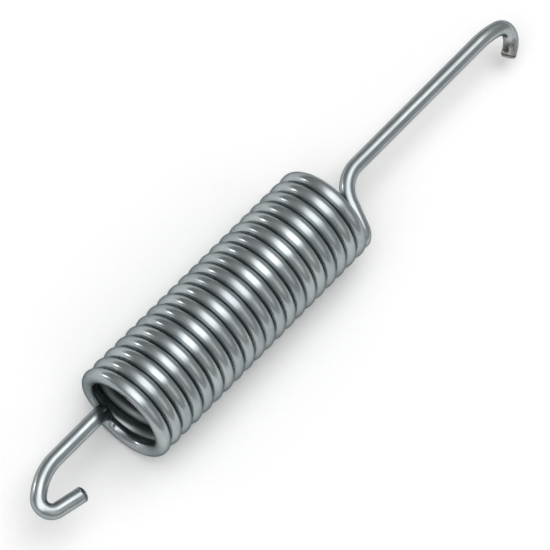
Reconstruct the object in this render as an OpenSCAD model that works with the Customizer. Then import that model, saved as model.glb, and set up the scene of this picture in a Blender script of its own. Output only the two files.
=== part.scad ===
// Tension spring for a hung drum or tub, wound from one piece of round wire.
// The coil is close-wound and left-handed, with its axis along X.  At each end the wire
// leaves the last turn, crosses towards the middle and runs out along X to an open hook.
// The spring is drawn lying on its coil: Z is up, and the floor is at Z = 0.

/* [Wire] */
// Diameter of the wire
wire_d = 4; // [3.5:0.1:4.8]
// Length of the ground bevel round each cut end
end_bevel = 0.5; // [0.2:0.1:1]

/* [Coil] */
// Outside diameter of the coil
coil_od = 28.5; // [24:0.5:36]
// Quarter turns wound, an odd number so that the long arm leaves from the side
quarter_turns = 81; // [41:4:121]
// Space between neighbouring turns
turn_gap = 0.0572; // [0.0172:0.02:0.3972]
// How far the wound coil is rolled about its axis where it lies
roll = 7.5; // [0:2.5:45]

/* [Short hook] */
// Height of the shank's side of the hook above the coil's axis, in the hook's plane
short_offset = 4.3; // [3.6:0.1:5.2]
// Distance from the first turn out to the knee
short_knee_out = 3.5; // [3:0.5:8]
// Straight shank from the knee to the hook's first bend
short_shank = 23.2; // [19:0.1:40]
// Angle of the hook's first bend
short_bend = 40; // [20:5:60]
// Side of the hook from its first bend to the corner of its seat
short_side = 12.5; // [11:0.5:18]
// Angle that the seat turns through
short_seat_turn = 128; // [100:2:140]
// Inside radius of the seat
short_seat_r = 1.3; // [1:0.1:4]
// Length from the corner of the seat to the cut end
short_tip = 14.7; // [10:0.1:20]

/* [Long arm] */
// Height of the arm above the coil's axis, in the short hook's plane
long_offset = 3; // [2:0.1:5]
// Distance from the last turn out to the knee
long_knee_out = 7.5; // [6:0.5:12]
// Straight arm from the knee to its hook's first bend
long_shank = 61.3; // [40:0.1:120]
// Angle between the planes of the two hooks
hook_twist = 45; // [0:5:90]
// Angle of the hook's first bend
long_bend = 18; // [10:1:40]
// Side of the hook from its first bend to the corner of its seat
long_side = 12.4; // [12:0.2:18]
// Angle that the seat turns through
long_seat_turn = 115; // [90:5:130]
// Inside radius of the seat
long_seat_r = 3.4; // [2:0.1:5]
// Length from the corner of the seat to the cut end
long_tip = 10.5; // [10:0.1:16]

/* [Bends] */
// Bend radius where the wire leaves the first turn
short_leg_r = 4; // [3.5:0.1:6]
// Bend radius of the short hook's knee
short_knee_r = 5; // [4:0.5:8]
// Bend radius of the short hook's first bend
short_bend_r = 16.5; // [10:0.5:20]
// How far the last turn rises before it bends inwards
long_leg_rise = 6; // [5:0.5:9]
// Bend radius where the wire leaves the last turn
long_leg_r = 6; // [5:0.5:9]
// Bend radius of the long arm's knee
long_knee_r = 6; // [4:0.5:9]
// Bend radius of the long arm's first bend
long_bend_r = 24; // [12:1:30]

/* [Hidden] */
$fn = 48;

wire_r = wire_d / 2;
coil_r = (coil_od - wire_d) / 2;
pitch = wire_d + turn_gap;

// Each half turn is half a ring, leaned to and fro about the level diameter, so that the
// ends of neighbouring halves meet square: a pitch is four leans of one radius.
lean = asin(pitch / (4 * coil_r));
joint_r = coil_r * cos(lean);
half_turns = floor(quarter_turns / 2);
coil_len = quarter_turns * pitch / 4;

// A corner may use this share of the straight wire between it and the next corner
corner_share = 0.98;

// Bending thins the wire: straight wire stands this much proud of bent wire all round, and
// runs this far into each bend, so that the two overlap in a small step and don't just touch.
proud = 0.03;
lap = 0.15;

function unit(v) = v / norm(v);
function bend_angle(p, i) =
    acos(unit(p[i] - p[i - 1]) * unit(p[i + 1] - p[i]));
function cut(p, r, i) =
    i <= 0 || i >= len(p) - 1 ? 0 : r[i - 1] * tan(bend_angle(p, i) / 2);
function room(p, r, i, j) =
    corner_share * norm(p[i] - p[j]) / max(cut(p, r, i) + cut(p, r, j), 0.001);
// Bend radius at corner i, made smaller where its neighbours leave no room for it
function fitted_r(p, r, i) =
    r[i - 1] * min(1, room(p, r, i, i - 1), room(p, r, i, i + 1));
function fitted_cut(p, r, i) =
    i <= 0 || i >= len(p) - 1 ? 0 : fitted_r(p, r, i) * tan(bend_angle(p, i) / 2);
// Straight wire left between corner i and the next
function free_length(p, r, i) =
    norm(p[i + 1] - p[i]) - fitted_cut(p, r, i) - fitted_cut(p, r, i + 1);
function bend_centre(p, r, i) =
    p[i] + unit(unit(p[i - 1] - p[i]) + unit(p[i + 1] - p[i]))
        * fitted_r(p, r, i) / cos(bend_angle(p, i) / 2);

// Direction in a hook's plane: a turned from +X towards the side that the plane faces
function heading(a, side) = [cos(a), 0, 0] + sin(a) * side;

// Short end: corners of the wire from the first turn to the cut end, in the plane Z = 0
short_down = [0, -1, 0];
short_first = [-short_knee_out - short_shank, short_offset, 0];
short_corner = short_first + short_side * heading(180 - short_bend, short_down);
short_end = short_corner
    + short_tip * heading(180 - short_bend - short_seat_turn, short_down);
short_path = [
    [0, 0, -joint_r],
    [0, short_offset, -joint_r],
    [-short_knee_out, short_offset, 0],
    short_first, short_corner, short_end];
short_radii = [short_leg_r, short_knee_r, short_bend_r, short_seat_r + wire_r];

// Long end: the last quarter turn stops at the side, rising and still leaned outwards
long_down = [0, -cos(hook_twist), -sin(hook_twist)];
coil_end = [coil_len, -coil_r, 0];
long_knee = [coil_len + long_knee_out, long_offset, 0];
long_first = long_knee + [long_shank, 0, 0];
long_corner = long_first + long_side * heading(long_bend, long_down);
long_end = long_corner + long_tip * heading(long_bend + long_seat_turn, long_down);
long_path = [
    coil_end,
    coil_end + long_leg_rise * [sin(lean), 0, cos(lean)],
    long_knee, long_first, long_corner, long_end];
long_radii = [long_leg_r, long_knee_r, long_bend_r, long_seat_r + wire_r];

// The seats are the last corners, and reach furthest out along X
seat = 4;
x_low = bend_centre(short_path, short_radii, seat).x
    - fitted_r(short_path, short_radii, seat) - wire_r;
x_high = bend_centre(long_path, long_radii, seat).x
    + fitted_r(long_path, long_radii, seat) + wire_r;
x_middle = (x_low + x_high) / 2;
// Height of the axis: the leaned rings are a little flatter near their joints
axis_z = wire_r + coil_r * sqrt(1 - pow(sin(lean) * cos(roll), 2));

// The square direction of corner i's bend, and the turn about the wire from one to another
function bend_normal(p, i) = unit(cross(p[i] - p[i - 1], p[i + 1] - p[i]));
function twist(from, to, along) = atan2(cross(from, to) * along, from * to);

// The two pieces that all the wire is made of.  Both start at the origin and head along +Z.
module straight(length) {
    translate([0, 0, -lap]) cylinder(d = wire_d + 2 * proud, h = length + lap);
}

module bend(angle, radius) {
    translate([radius, 0, 0])
        rotate([90, 0, 180])
        rotate_extrude(angle = angle)
        translate([radius, 0]) circle(d = wire_d);
}

// Carries what follows to the end of a bend, heading along its own +Z again
module past_bend(angle, radius) {
    translate([radius * (1 - cos(angle)), 0, radius * sin(angle)])
        rotate([0, angle, 0]) children();
}

// The cut end: the wire's last straight, with its rim ground to a bevel
module cut_end(length) {
    straight(length - end_bevel);
    translate([0, 0, length - end_bevel])
        cylinder(d1 = wire_d + 2 * proud, d2 = wire_d - 2 * end_bevel, h = end_bevel);
}

// Wire from corner i on to the cut end.  It is laid piece by piece, each in the frame where
// the one before it ended; y is the direction of that frame's Y axis.
module wire_run(p, r, y, i = 0) {
    length = free_length(p, r, i);
    if (i == len(p) - 2) {
        cut_end(length);
    } else {
        normal = bend_normal(p, i + 1);
        angle = bend_angle(p, i + 1);
        radius = fitted_r(p, r, i + 1);
        rotate([0, 0, twist(y, normal, unit(p[i + 1] - p[i]))]) {
            straight(length + lap);
            translate([0, 0, length]) {
                bend(angle, radius);
                past_bend(angle, radius) wire_run(p, r, normal, i + 1);
            }
        }
    }
}

// Half turn i lies in its own leaned frame: X points from the coil's axis to where it starts,
// and it turns about Z.  Even ones climb from the bottom joint, odd ones return from the top.
module in_turn(i) {
    even = i % 2 == 0;
    translate([(2 * i + 1) * pitch / 4, 0, 0])
        rotate([0, even ? lean - 90 : -lean - 90, 0])
        rotate([0, 0, even ? 180 : 0])
        children();
}

module part_turn(angle) {
    rotate_extrude(angle = angle) translate([coil_r, 0]) circle(d = wire_d);
}

module spring() {
    color([0.66, 0.68, 0.69])
    translate([-x_middle, 0, axis_z])
    rotate([roll, 0, 0])
    union() {
        in_turn(0) translate([coil_r, 0, 0]) rotate([90, 0, 0])
            wire_run(short_path, short_radii, [-cos(lean), 0, sin(lean)]);
        for (i = [0 : half_turns])
            in_turn(i) part_turn(i < half_turns ? 180 : 90);
        in_turn(half_turns) translate([0, coil_r, 0]) rotate([0, -90, 0])
            wire_run(long_path, long_radii, [0, -1, 0]);
    }
}

spring();
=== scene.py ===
# %% [markdown]
# # A tension spring on its CAD frame
# The part is one piece of round wire: a close-wound coil, a short hook at one end and a
# long arm with a hook at the other. The frame brings the CAD solid, its size and its
# place. This lesson sweeps a smooth wire along nearly the same route, gives it a drawn
# and plated steel finish, and sets it on a white table in studio light.

# %% Load the frame
import math

import bpy
import numpy as np
from mathutils import Matrix, Vector


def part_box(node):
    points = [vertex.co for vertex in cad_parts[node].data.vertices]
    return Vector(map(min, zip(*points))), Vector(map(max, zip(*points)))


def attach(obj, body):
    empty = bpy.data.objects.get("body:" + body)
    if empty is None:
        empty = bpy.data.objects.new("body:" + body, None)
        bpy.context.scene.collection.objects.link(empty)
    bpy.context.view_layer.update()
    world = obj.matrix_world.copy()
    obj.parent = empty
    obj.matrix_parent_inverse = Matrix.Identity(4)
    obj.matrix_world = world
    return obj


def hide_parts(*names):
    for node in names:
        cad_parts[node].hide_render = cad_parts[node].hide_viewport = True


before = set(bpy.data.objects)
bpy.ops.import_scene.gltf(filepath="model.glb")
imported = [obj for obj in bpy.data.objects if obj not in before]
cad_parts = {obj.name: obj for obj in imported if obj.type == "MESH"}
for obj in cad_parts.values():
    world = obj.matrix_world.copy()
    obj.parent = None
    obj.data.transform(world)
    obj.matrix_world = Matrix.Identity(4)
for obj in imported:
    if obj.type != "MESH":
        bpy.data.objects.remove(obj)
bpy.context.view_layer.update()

MM = 0.001
spring_low, spring_high = (np.array(corner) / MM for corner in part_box("spring"))
print("CAD spring, mm:", spring_low.round(2), "to", spring_high.round(2))

# %% [markdown]
# ## The wire and the coil
# Lengths are in millimetres and become metres when a mesh is made. A close-wound spring
# keeps its turns nearly square to its axis on one side and steps over to the next turn on
# the other, so x is level over the upper half of each turn and rises by one pitch below.
# The CAD solid's turns are leaned half rings instead, so round the coil the two surfaces
# lie up to 2.3 mm apart, and up to 3.6 mm in the last turns. On the hooks it is up to
# about 1 mm.

# %% Wire and coil sizes
WIRE_R = 2.0            # radius of the wire
COIL_R = 12.25          # from the coil's axis to the middle of the wire
QUARTER_TURNS = 81
PITCH = 4.0572          # from one turn to the next along the axis
ROLL = math.radians(7.5)    # how far the coil is rolled about its axis where it lies
STEP = PITCH / 4
COIL_LENGTH = QUARTER_TURNS * STEP
FAR_SHORT = math.radians(15)    # the wire starts to straighten this much before the last quarter
print("coil", round(COIL_LENGTH, 2), "mm between the middles of its end turns")


# %% The coil's centre line
def coil_line(rings_a_turn=72):
    """The coil as a function of its angle a, counted from the underside.

    It lies at (x(a), -R sin a, -R cos a). With b = a - 90 degrees and k whole turns in b,
    x is STEP + k PITCH over the upper half turn, and then rises along half a cosine.
    """
    a = np.linspace(0, QUARTER_TURNS * math.pi / 2 - FAR_SHORT, QUARTER_TURNS * rings_a_turn // 4)
    b = a - math.pi / 2
    turns = np.floor(b / (2 * math.pi) + 1e-9)
    rest = b - turns * 2 * math.pi
    climb = np.where(rest > math.pi, (1 - np.cos(rest - math.pi)) / 2, 0)
    x = STEP + np.maximum(turns + climb, 0) * PITCH
    return np.column_stack([x, -COIL_R * np.sin(a), -COIL_R * np.cos(a)])


# %% [markdown]
# ## The two ends
# Each end of the wire was bent over pins, so it is a run of straights joined by round
# bends. A bend is set by its corner, where the two straights would meet, and by a radius.
# That is how a wire bender is programmed, and it keeps every number a size of the part.

# %% Straights and round bends
def unit(v):
    """The same direction with a length of one."""
    return v / np.linalg.norm(v)


def bent_line(corners, radii, spacing=0.7):
    """Points along straights between corners, with each corner rounded to its radius.

    A bend that turns by t cuts r tan(t/2) off both straights. Its points are
    centre + r (sin s u - cos s n), with u along the first straight and n square to it.
    """
    p = [np.array(c, float) for c in corners]
    turn, cut = np.zeros(len(p)), np.zeros(len(p))
    for i, r in enumerate(radii, 1):
        turn[i] = math.acos(unit(p[i] - p[i - 1]) @ unit(p[i + 1] - p[i]))
        cut[i] = r * math.tan(turn[i] / 2)
    room = [0.98 * np.linalg.norm(p[i + 1] - p[i]) / max(cut[i] + cut[i + 1], 1e-9)
            for i in range(len(p) - 1)]
    line = [p[0]]
    for i, r in enumerate(radii, 1):
        share = min(1, room[i - 1], room[i])
        r, off = r * share, cut[i] * share
        u, w = unit(p[i] - p[i - 1]), unit(p[i + 1] - p[i])
        n = unit(w - u * (u @ w))
        s = np.linspace(0, turn[i], 2 + int(r * turn[i] / spacing))[:, None]
        start = p[i] - off * u
        line += list(straight(line[-1], start, spacing)[1:-1])
        line += list(start + r * n + r * (np.sin(s) * u - np.cos(s) * n))
    line += list(straight(line[-1], p[-1], spacing)[1:])
    return np.array(line)


def straight(start, end, spacing):
    """Points from start to end, no further apart than the spacing."""
    count = 2 + int(np.linalg.norm(end - start) / spacing)
    return start + np.linspace(0, 1, count)[:, None] * (end - start)


def heading(degrees, side):
    """A direction in a hook's plane, turned from +X towards the way the hook opens."""
    a = math.radians(degrees)
    return math.cos(a) * np.array([1.0, 0, 0]) + math.sin(a) * np.array(side)


# %% The short hook
SHORT_OFFSET = 4.3      # of the shank from the coil's axis
SHORT_KNEE_OUT = 3.5
SHORT_SHANK = 23.2
SHORT_SIDE = 12.5
SHORT_TIP = 14.7
SHORT_BEND = 40         # degrees
SHORT_SEAT_TURN = 128   # degrees
SHORT_RADII = [4, 5, 16.5, 3.3]     # of its bends, from the coil to the tip

side = [0, -1, 0]
coil = coil_line()
leave = unit(coil[0] - coil[1])
leg_foot = coil[0] + leave * SHORT_OFFSET / leave[1]
short_knee = np.array([-SHORT_KNEE_OUT, SHORT_OFFSET, 0])
first = short_knee - [SHORT_SHANK, 0, 0]
seat = first + SHORT_SIDE * heading(180 - SHORT_BEND, side)
tip = seat + SHORT_TIP * heading(180 - SHORT_BEND - SHORT_SEAT_TURN, side)
short_end = bent_line([coil[0], leg_foot, short_knee, first, seat, tip], SHORT_RADII)
print("short hook:", len(short_end), "points")

# %% The long arm
LONG_OFFSET = 3.0
LONG_KNEE_OUT = 6.9
LONG_SHANK = 61.9
LONG_SIDE = 12.4
LONG_TIP = 11.0
LONG_RISE = 3.5
HOOK_TWIST = math.radians(45)       # how far the long hook turns down from level
LONG_BEND = 18          # degrees
LONG_SEAT_TURN = 115    # degrees
LONG_RADII = [5.4, 9.8, 24, 5.4]    # of its bends, from the coil to the tip

side = [0, -math.cos(HOOK_TWIST), -math.sin(HOOK_TWIST)]
leg_foot = coil[-1] + LONG_RISE * unit(coil[-1] - coil[-2])
knee = np.array([COIL_LENGTH + LONG_KNEE_OUT, LONG_OFFSET, 0])
first = knee + [LONG_SHANK, 0, 0]
seat = first + LONG_SIDE * heading(LONG_BEND, side)
tip = seat + LONG_TIP * heading(LONG_BEND + LONG_SEAT_TURN, side)
long_end = bent_line([coil[-1], leg_foot, knee, first, seat, tip], LONG_RADII)
print("long arm:", len(long_end), "points")


# %% The whole wire, where the part lies
def placed(points):
    """Rolls the wire about the coil's axis, then lays it where the CAD solid lies."""
    c, s = math.cos(ROLL), math.sin(ROLL)
    turned = points @ np.array([[1, 0, 0], [0, c, -s], [0, s, c]]).T
    return turned + [-HALF_WAY, 0, AXIS_HEIGHT]


line = np.concatenate([short_end[::-1], coil[1:-1], long_end])
HALF_WAY = (line[:, 0].min() + line[:, 0].max()) / 2
AXIS_HEIGHT = COIL_R + WIRE_R
line = placed(line)
along = np.concatenate([[0], np.cumsum(np.linalg.norm(np.diff(line, axis=0), axis=1))])
print("wire:", len(line), "rings,", round(along[-1], 1), "mm long")

# %% [markdown]
# ## From a line to a wire
# A circle is carried along the line. Its spokes must not twist from one ring to the next,
# or the marks of the drawing die would wind round the wire, so each ring's first spoke is
# the last one's with its part along the wire taken away. The ends were sheared and
# tumbled: the radius closes over a soft bevel to a low dome.

# %% Rings and spokes
def spokes(line):
    """Tangent and two square spokes at every point, turning as little as they can."""
    t = np.gradient(line, axis=0)
    t /= np.linalg.norm(t, axis=1)[:, None]
    first = np.empty_like(t)
    spoke = unit(np.cross(t[0], [0.0, 1, 0]))
    for i, direction in enumerate(t):
        spoke = unit(spoke - direction * (spoke @ direction))
        first[i] = spoke
    return t, first, np.cross(t, first)


# Profile of a cut end: (distance past the end, share of the wire's radius)
CUT_END = np.array([[-0.90, 1.0], [-0.65, 0.992], [-0.45, 0.97], [-0.28, 0.935], [-0.14, 0.885],
                    [-0.03, 0.82], [0.04, 0.74], [0.09, 0.62], [0.13, 0.46], [0.155, 0.28],
                    [0.165, 0.12]])
SIDES = 40


def sweep(line, radius, profile):
    """Rings of a round wire with rounded ends: centre + r (cos a n + sin a b) at each point."""
    t, n, b = spokes(line)
    ends = []
    for i, way in ((0, -1), (-1, 1)):
        off, share = profile[:, 0:1], profile[:, 1]
        rings = line[i] + (off - profile[-1, 0]) * way * t[i]
        ends.append((rings, share * radius[i], np.repeat(n[i][None], len(off), 0),
                     np.repeat(b[i][None], len(off), 0)))
    keep = slice(1, -1)
    centres = np.concatenate([ends[0][0][::-1], line[keep], ends[1][0]])
    radii = np.concatenate([ends[0][1][::-1], radius[keep], ends[1][1]])
    n = np.concatenate([ends[0][2], n[keep], ends[1][2]])
    b = np.concatenate([ends[0][3], b[keep], ends[1][3]])
    a = np.linspace(0, 2 * math.pi, SIDES, endpoint=False)
    ring = np.cos(a)[None, :, None] * n[:, None] + np.sin(a)[None, :, None] * b[:, None]
    verts = centres[:, None] + radii[:, None, None] * ring
    return centres, radii, a, verts


ENDS_FULLER = 0.08      # winding draws the wire a little thinner than it stays at its ends
BLEND = 8               # length of wire over which it grows fuller


def wire_radius(along, first, last):
    """The wire's radius: WIRE_R along the coil, and fuller past its two ends."""
    past = np.maximum(first - along, along - last)
    return WIRE_R + ENDS_FULLER * np.clip(past / BLEND, 0, 1)


ends_at = along[[len(short_end), -len(long_end)]]
centres, radii, angles, grid = sweep(line, wire_radius(along, *ends_at), CUT_END)
print("grid:", grid.shape[0], "rings of", grid.shape[1])


# %% The mesh
def wire_mesh(name, centres, radii, angles, grid):
    """Puts the grid into a mesh: quads between rings, and a fan at each closed end."""
    rings, sides = grid.shape[:2]
    i, j = np.meshgrid(np.arange(rings - 1), np.arange(sides), indexing="ij")
    k = (j + 1) % sides
    quads = np.stack([i * sides + j, i * sides + k, (i + 1) * sides + k, (i + 1) * sides + j], -1)
    poles = np.array([centres[0], centres[-1]])
    first, last = rings * sides, rings * sides + 1
    j = np.arange(sides)
    k = (j + 1) % sides
    fans = np.concatenate([np.column_stack([np.full(sides, first), k, j]),
                           np.column_stack([np.full(sides, last), (rings - 1) * sides + j,
                                            (rings - 1) * sides + k])])
    verts = np.concatenate([grid.reshape(-1, 3), poles]) * MM
    mesh = bpy.data.meshes.new(name)
    mesh.from_pydata(verts.tolist(), [], quads.reshape(-1, 4).tolist() + fans.tolist())
    mesh.shade_smooth()
    run = np.concatenate([[0], np.cumsum(np.linalg.norm(np.diff(centres, axis=0), axis=1))])
    place = np.stack(np.broadcast_arrays(np.cos(angles) * radii[:, None],
                                         np.sin(angles) * radii[:, None], run[:, None]), -1)
    place = np.concatenate([place.reshape(-1, 3), [[0, 0, 0], [0, 0, run[-1]]]])
    attribute = mesh.attributes.new("wire_place", "FLOAT_VECTOR", "POINT")
    attribute.data.foreach_set("vector", (place * MM).astype(np.float32).ravel())
    piece = bpy.data.objects.new(name, mesh)
    bpy.context.scene.collection.objects.link(piece)
    return piece, run[-1]


wire, wire_length = wire_mesh("wire", centres, radii, angles, grid)
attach(wire, "root")
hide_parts("spring")
print("wire piece:", len(wire.data.polygons), "faces")


# %% [markdown]
# ## Drawn and plated steel
# Wire is pulled through a die, so its marks all run lengthwise: they are noise whose place
# along the wire is squeezed by a factor, which stretches the grain by the same factor. Zinc
# plating then clouds it a little. One grain drives colour, roughness and height together,
# because on a real wire the three come from the same scratch.

# %% Node helpers
def add(tree, kind, settings=None, **inputs):
    """Adds a shader node: settings are its options, inputs are values or linked sockets."""
    made = tree.nodes.new("ShaderNode" + kind)
    for name, value in (settings or {}).items():
        setattr(made, name, value)
    for name, value in inputs.items():
        socket = made.inputs[int(name[1:]) if name[1:].isdigit() else name.replace("_", " ")]
        if isinstance(value, bpy.types.NodeSocket):
            tree.links.new(value, socket)
        else:
            socket.default_value = value
    return made


def maths(tree, operation, *values):
    """One step of arithmetic; values are numbers or sockets."""
    numbered = {"i" + str(k): value for k, value in enumerate(values)}
    return add(tree, "Math", {"operation": operation}, **numbered).outputs[0]


def span(tree, value, low, high, to_low=0.0, to_high=1.0, smooth=False):
    """Carries low..high to to_low..to_high, and holds it there outside."""
    return add(tree, "MapRange", {"interpolation_type": "SMOOTHSTEP" if smooth else "LINEAR"},
               i0=value, i1=low, i2=high, i3=to_low, i4=to_high).outputs[0]


def blend(tree, factor, first, second):
    """The first colour where the factor is 0, and the second where it is 1."""
    mixer = add(tree, "Mix", {"data_type": "RGBA"}, i0=factor, i6=first, i7=second)
    return mixer.outputs[2]


def grain(tree, place, size, stretch, detail=2.0, roughness=0.5):
    """Noise with grains of a given size in mm across, drawn out along the wire."""
    squeezed = add(tree, "VectorMath", {"operation": "MULTIPLY"},
                   i0=place, i1=(1, 1, 1 / stretch)).outputs[0]
    return add(tree, "TexNoise", Vector=squeezed, Scale=1 / (size * MM), Detail=detail,
               Roughness=roughness).outputs[0]


# %% The wire's material
PLATE_LIGHT = (0.44, 0.475, 0.485, 1)
PLATE_DARK = (0.33, 0.365, 0.38, 1)
EDGE_TINT = (0.25, 0.27, 0.27, 1)   # what the metal gives back at a glancing angle
INSIDE_SHADE_TONE = (0.21, 0.235, 0.245, 1)  # painted shade inside the coil: a darker tone for the hollow between the turns
STAIN = (0.075, 0.070, 0.062, 1)    # dark spots where the cut tip has lost its plating
WORN = (0.27, 0.265, 0.245, 1)
CUT_STEEL = (0.40, 0.41, 0.42, 1)   # the sheared faces at both ends
CUT_DARK = (0.24, 0.24, 0.24, 1)
INSIDE_SHADE_SHARE = 0.8      # how much of the painted inside shade shows inside the coil
WORN_SHARE = 0.7
INSIDE_ROUGHER = 0.28
WORN_ROUGHER = 0.12
SPOT_ROUGHER = 0.15
CUT_ROUGHER = 0.12

steel = bpy.data.materials.new("plated wire")
steel.use_nodes = True
tree = steel.node_tree
plate = tree.nodes["Principled BSDF"]
place = add(tree, "Attribute", {"attribute_name": "wire_place"}).outputs["Vector"]
along_wire = add(tree, "SeparateXYZ", Vector=place).outputs["Z"]

fine = grain(tree, place, 0.16, 60, detail=3)
broad = grain(tree, place, 0.7, 25)
cloud = grain(tree, place, 5, 1.6, detail=4, roughness=0.6)
speck = grain(tree, place, 0.35, 2, detail=3)

drawn = maths(tree, "ADD", maths(tree, "MULTIPLY", fine, 0.55), maths(tree, "MULTIPLY", broad, 0.45))
tone = blend(tree, span(tree, cloud, 0.35, 0.65), PLATE_DARK, PLATE_LIGHT)
tone = blend(tree, span(tree, drawn, 0.38, 0.62, 0.0, 0.35), tone, PLATE_DARK)

rough = span(tree, drawn, 0.35, 0.65, 0.19, 0.30)
rough = maths(tree, "ADD", rough, span(tree, cloud, 0.3, 0.7, 0.05, -0.03))

spot = add(tree, "SeparateXYZ", Vector=add(tree, "TexCoord").outputs["Object"]).outputs
off_axis = maths(tree, "SUBTRACT", spot["Z"], AXIS_HEIGHT * MM)
from_axis = maths(tree, "SQRT", maths(tree, "MULTIPLY_ADD", off_axis, off_axis,
                                      maths(tree, "MULTIPLY", spot["Y"], spot["Y"])))
# Painted shade: inside the coil, past its first turn and short of its last, the tone is mixed towards
# a dark grey, and the same mask makes the wire rougher there.
inside_shade_and_rough = span(tree, from_axis, (COIL_R - 1.6) * MM, (COIL_R + 0.3) * MM, 1, 0, smooth=True)
past_mouth = span(tree, spot["X"], -(HALF_WAY - 1) * MM, -(HALF_WAY - 4) * MM)
before_end = span(tree, spot["X"], (COIL_LENGTH - HALF_WAY - 2) * MM,
                  (COIL_LENGTH - HALF_WAY + 3) * MM, 1, 0)
inside_shade_and_rough = maths(tree, "MULTIPLY", inside_shade_and_rough, maths(tree, "MULTIPLY", past_mouth, before_end))
tone = blend(tree, maths(tree, "MULTIPLY", inside_shade_and_rough, INSIDE_SHADE_SHARE), tone, INSIDE_SHADE_TONE)

worn = span(tree, along_wire, (wire_length - 8) * MM, (wire_length - 3) * MM, smooth=True)
blotch = grain(tree, place, 1.7, 1.3, detail=2)
spotted = maths(tree, "MULTIPLY", worn, span(tree, blotch, 0.50, 0.60, smooth=True))
tone = blend(tree, maths(tree, "MULTIPLY", worn, WORN_SHARE), tone, WORN)
tone = blend(tree, spotted, tone, STAIN)
rough = maths(tree, "MULTIPLY_ADD", inside_shade_and_rough, INSIDE_ROUGHER, rough)
rough = maths(tree, "MULTIPLY_ADD", worn, WORN_ROUGHER, rough)
rough = maths(tree, "MULTIPLY_ADD", spotted, SPOT_ROUGHER, rough)

from_cut = maths(tree, "MINIMUM", along_wire, maths(tree, "SUBTRACT", wire_length * MM, along_wire))
cut = span(tree, from_cut, 0.55 * MM, 0.95 * MM, 1, 0, smooth=True)
tone = blend(tree, cut, tone, blend(tree, span(tree, speck, 0.4, 0.6), CUT_STEEL, CUT_DARK))
rough = maths(tree, "MULTIPLY_ADD", cut, CUT_ROUGHER, rough)

plate.inputs["Metallic"].default_value = 1.0
plate.inputs["Specular Tint"].default_value = EDGE_TINT
tree.links.new(tone, plate.inputs["Base Color"])
tree.links.new(rough, plate.inputs["Roughness"])
scratches = add(tree, "Bump", Strength=0.35, Distance=0.02 * MM, Height=drawn)
pits = add(tree, "Bump", Strength=0.25, Distance=0.03 * MM, Height=speck,
           Normal=scratches.outputs[0])
tree.links.new(pits.outputs[0], plate.inputs["Normal"])
wire.data.materials.append(steel)

# %% [markdown]
# ## Table and light
# The table is white by its own colour. The light is a studio sky written as a function of
# direction: a bright band overhead along the coil, darker on the far side and a middling
# grey on the near side. Polished round wire shows that sky stretched out, so the sky's
# profile across the band is what the eye reads as the wire's roundness.

# %% Table
bpy.ops.mesh.primitive_plane_add(size=4)
table = bpy.context.object
table.name = "table"
paper = bpy.data.materials.new("white table")
paper.use_nodes = True
tree = paper.node_tree
weave = add(tree, "TexNoise", Vector=add(tree, "TexCoord").outputs["Object"], Scale=900).outputs[0]
white = blend(tree, weave, (0.91, 0.91, 0.91, 1), (0.94, 0.94, 0.94, 1))
tree.links.new(white, tree.nodes["Principled BSDF"].inputs["Base Color"])
tree.nodes["Principled BSDF"].inputs["Roughness"].default_value = 0.8
tree.nodes["Principled BSDF"].inputs["Specular IOR Level"].default_value = 0.0
table.data.materials.append(paper)

# %% Studio sky
# Angle from overhead about the coil's axis, in degrees (+ is the far side), and brightness
SKY = [(-180, 0.4), (-100, 0.42), (-70, 0.46), (-40, 0.42), (-24, 0.40), (10, 0.5), (34, 0.55),
       (48, 0.39), (70, 0.31), (95, 0.33), (180, 0.4)]
# The softbox: where it starts and ends round the same angle, and along the coil
BOX_ACROSS = [(-25, -11), (12, 36)]
BOX_ALONG = [(-0.95, -0.72), (0.40, 0.72)]
BOX_LEVEL = 2.15
# A second, weaker softbox: turn, height, the angles where it is full and where it ends, level
FILL = (262, 46, 12, 27, 0.50)

world = bpy.data.worlds.new("studio")
bpy.context.scene.world = world
world.use_nodes = True
tree = world.node_tree
looking = add(tree, "TexCoord").outputs["Generated"]
way = add(tree, "SeparateXYZ", Vector=looking).outputs
angle = maths(tree, "MULTIPLY", maths(tree, "ARCTAN2", way["Y"], way["Z"]), 180 / math.pi)
ramp = add(tree, "ValToRGB", Fac=span(tree, angle, -180, 180))
ramp.color_ramp.interpolation = "EASE"
stops = ramp.color_ramp.elements
while len(stops) < len(SKY):
    stops.new(0.5)
for stop, (degrees, level) in zip(stops, SKY):
    stop.position = degrees / 360 + 0.5
    stop.color = [level] * 3 + [1]


def between(value, edges):
    """1 between two soft edges, each given as where it starts and where it ends."""
    (a, b), (c, d) = edges
    return maths(tree, "MULTIPLY", span(tree, value, a, b, smooth=True),
                 span(tree, value, c, d, 1, 0, smooth=True))


def heading_to(turn, height):
    """The direction at a turn from +X and a height above level, both in degrees."""
    t, h = math.radians(turn), math.radians(height)
    return Vector((math.cos(h) * math.cos(t), math.cos(h) * math.sin(t), math.sin(h)))


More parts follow.
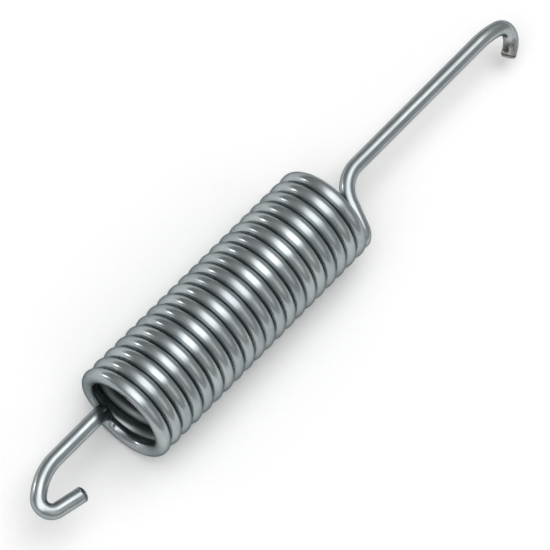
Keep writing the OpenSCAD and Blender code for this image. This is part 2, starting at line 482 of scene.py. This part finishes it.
turn, height, full, end, level = FILL
near_fill = add(tree, "VectorMath", {"operation": "DOT_PRODUCT"},
                i0=looking, i1=heading_to(turn, height)).outputs["Value"]
fill = maths(tree, "MULTIPLY", level, span(tree, near_fill, math.cos(math.radians(end)),
                                           math.cos(math.radians(full)), smooth=True))
box = maths(tree, "MULTIPLY", between(angle, BOX_ACROSS), between(way["X"], BOX_ALONG))
box = maths(tree, "MULTIPLY", box, BOX_LEVEL)
sky = maths(tree, "ADD", maths(tree, "ADD", ramp.outputs[0], fill), box)
tree.links.new(sky, tree.nodes["Background"].inputs["Color"])
tree.nodes["Background"].inputs["Strength"].default_value = 1.0


# %% Small lamp
def lamp(name, turn, height, distance, size, radiance):
    """An area lamp facing the part; its power is pi x area x radiance."""
    light = bpy.data.lights.new(name, "AREA")
    light.shape = "RECTANGLE"
    light.size, light.size_y = size
    light.energy = math.pi * size[0] * size[1] * radiance
    made = bpy.data.objects.new(name, light)
    bpy.context.scene.collection.objects.link(made)
    away = heading_to(turn, height)
    made.location = Vector((-0.02, 0, AXIS_HEIGHT * MM)) + away * distance
    made.rotation_mode = "QUATERNION"
    made.rotation_quaternion = away.to_track_quat("Z", "Y")
    return made


lamp("glint", 111, 8, 0.8, (0.09, 0.07), 22)

# %% Camera
CAMERA_TURN = math.radians(-74.056)
CAMERA_HEIGHT = math.radians(64.276)
CAMERA_ROLL = math.radians(27.245)
CAMERA_DISTANCE = 905.5
CAMERA_LENS = 231.2
CAMERA_SENSOR = 36
LOOK_AT = np.array([-6.70, -2.27, AXIS_HEIGHT + 0.57])
back = np.array([math.cos(CAMERA_HEIGHT) * math.sin(CAMERA_TURN),
                 -math.cos(CAMERA_HEIGHT) * math.cos(CAMERA_TURN), math.sin(CAMERA_HEIGHT)])
level = np.array([math.cos(CAMERA_TURN), math.sin(CAMERA_TURN), 0])
right = math.cos(CAMERA_ROLL) * level + math.sin(CAMERA_ROLL) * np.cross(back, level)
camera = bpy.data.objects.new("camera", bpy.data.cameras.new("camera"))
bpy.context.scene.collection.objects.link(camera)
camera.location = Vector((LOOK_AT + CAMERA_DISTANCE * back) * MM)
camera.rotation_mode = "QUATERNION"
camera.rotation_quaternion = Matrix((right, np.cross(back, right), back)).transposed().to_quaternion()
camera.data.lens = CAMERA_LENS
camera.data.sensor_width = CAMERA_SENSOR
bpy.context.scene.camera = camera
bpy.context.scene.view_settings.view_transform = "Standard"
